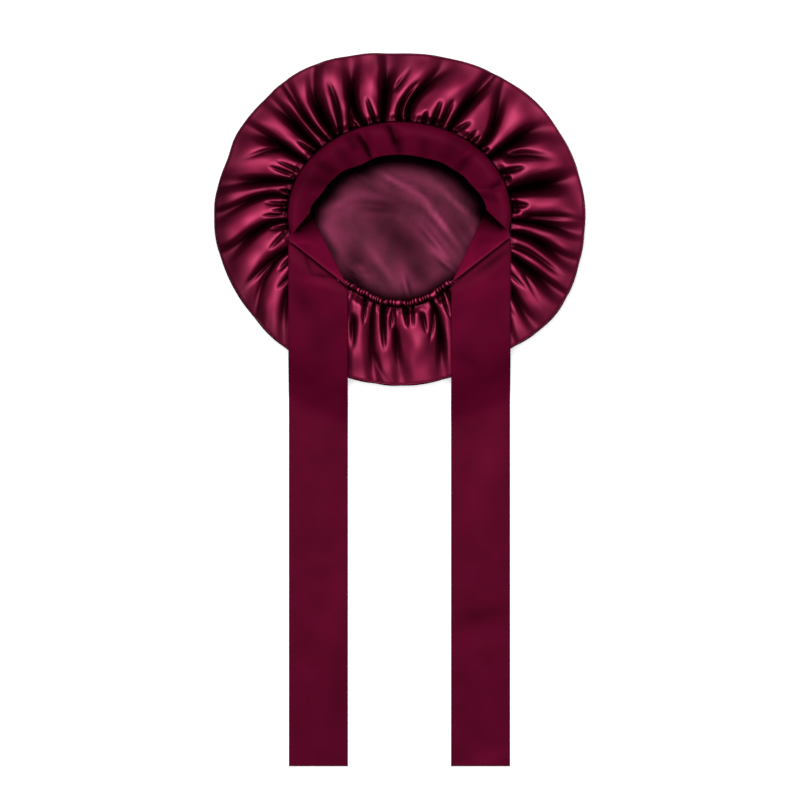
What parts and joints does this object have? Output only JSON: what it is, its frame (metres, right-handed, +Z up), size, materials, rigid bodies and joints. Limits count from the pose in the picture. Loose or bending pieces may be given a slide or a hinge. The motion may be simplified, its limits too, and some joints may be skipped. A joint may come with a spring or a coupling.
{
  "type": "sleep bonnet",
  "caption": "Soft satin sleep bonnet with a gathered crown, a wide front band, a narrow elastic back edge and long flat ties, lying open side up.",
  "frame": {"origin": "centre of the crown's flat underside, on the surface that the bonnet lies on", "axes": "+Z up out of the opening, +Y from the back edge to the front band, so the ties run along -Y, +X to the right seen from above"},
  "size_m": [0.3504, 0.6776, 0.0432],
  "materials": {
    "satin": "glossy woven satin with a soft stretched sheen along the folds, duller on its reverse",
    "band_satin": "smooth satin with a low even sheen"
  },
  "bodies": {
    "root": {"crown": "satin", "back_edge": "satin", "front_band": "band_satin", "tie_left": "band_satin", "tie_right": "band_satin"}
  },
  "joints": []
}
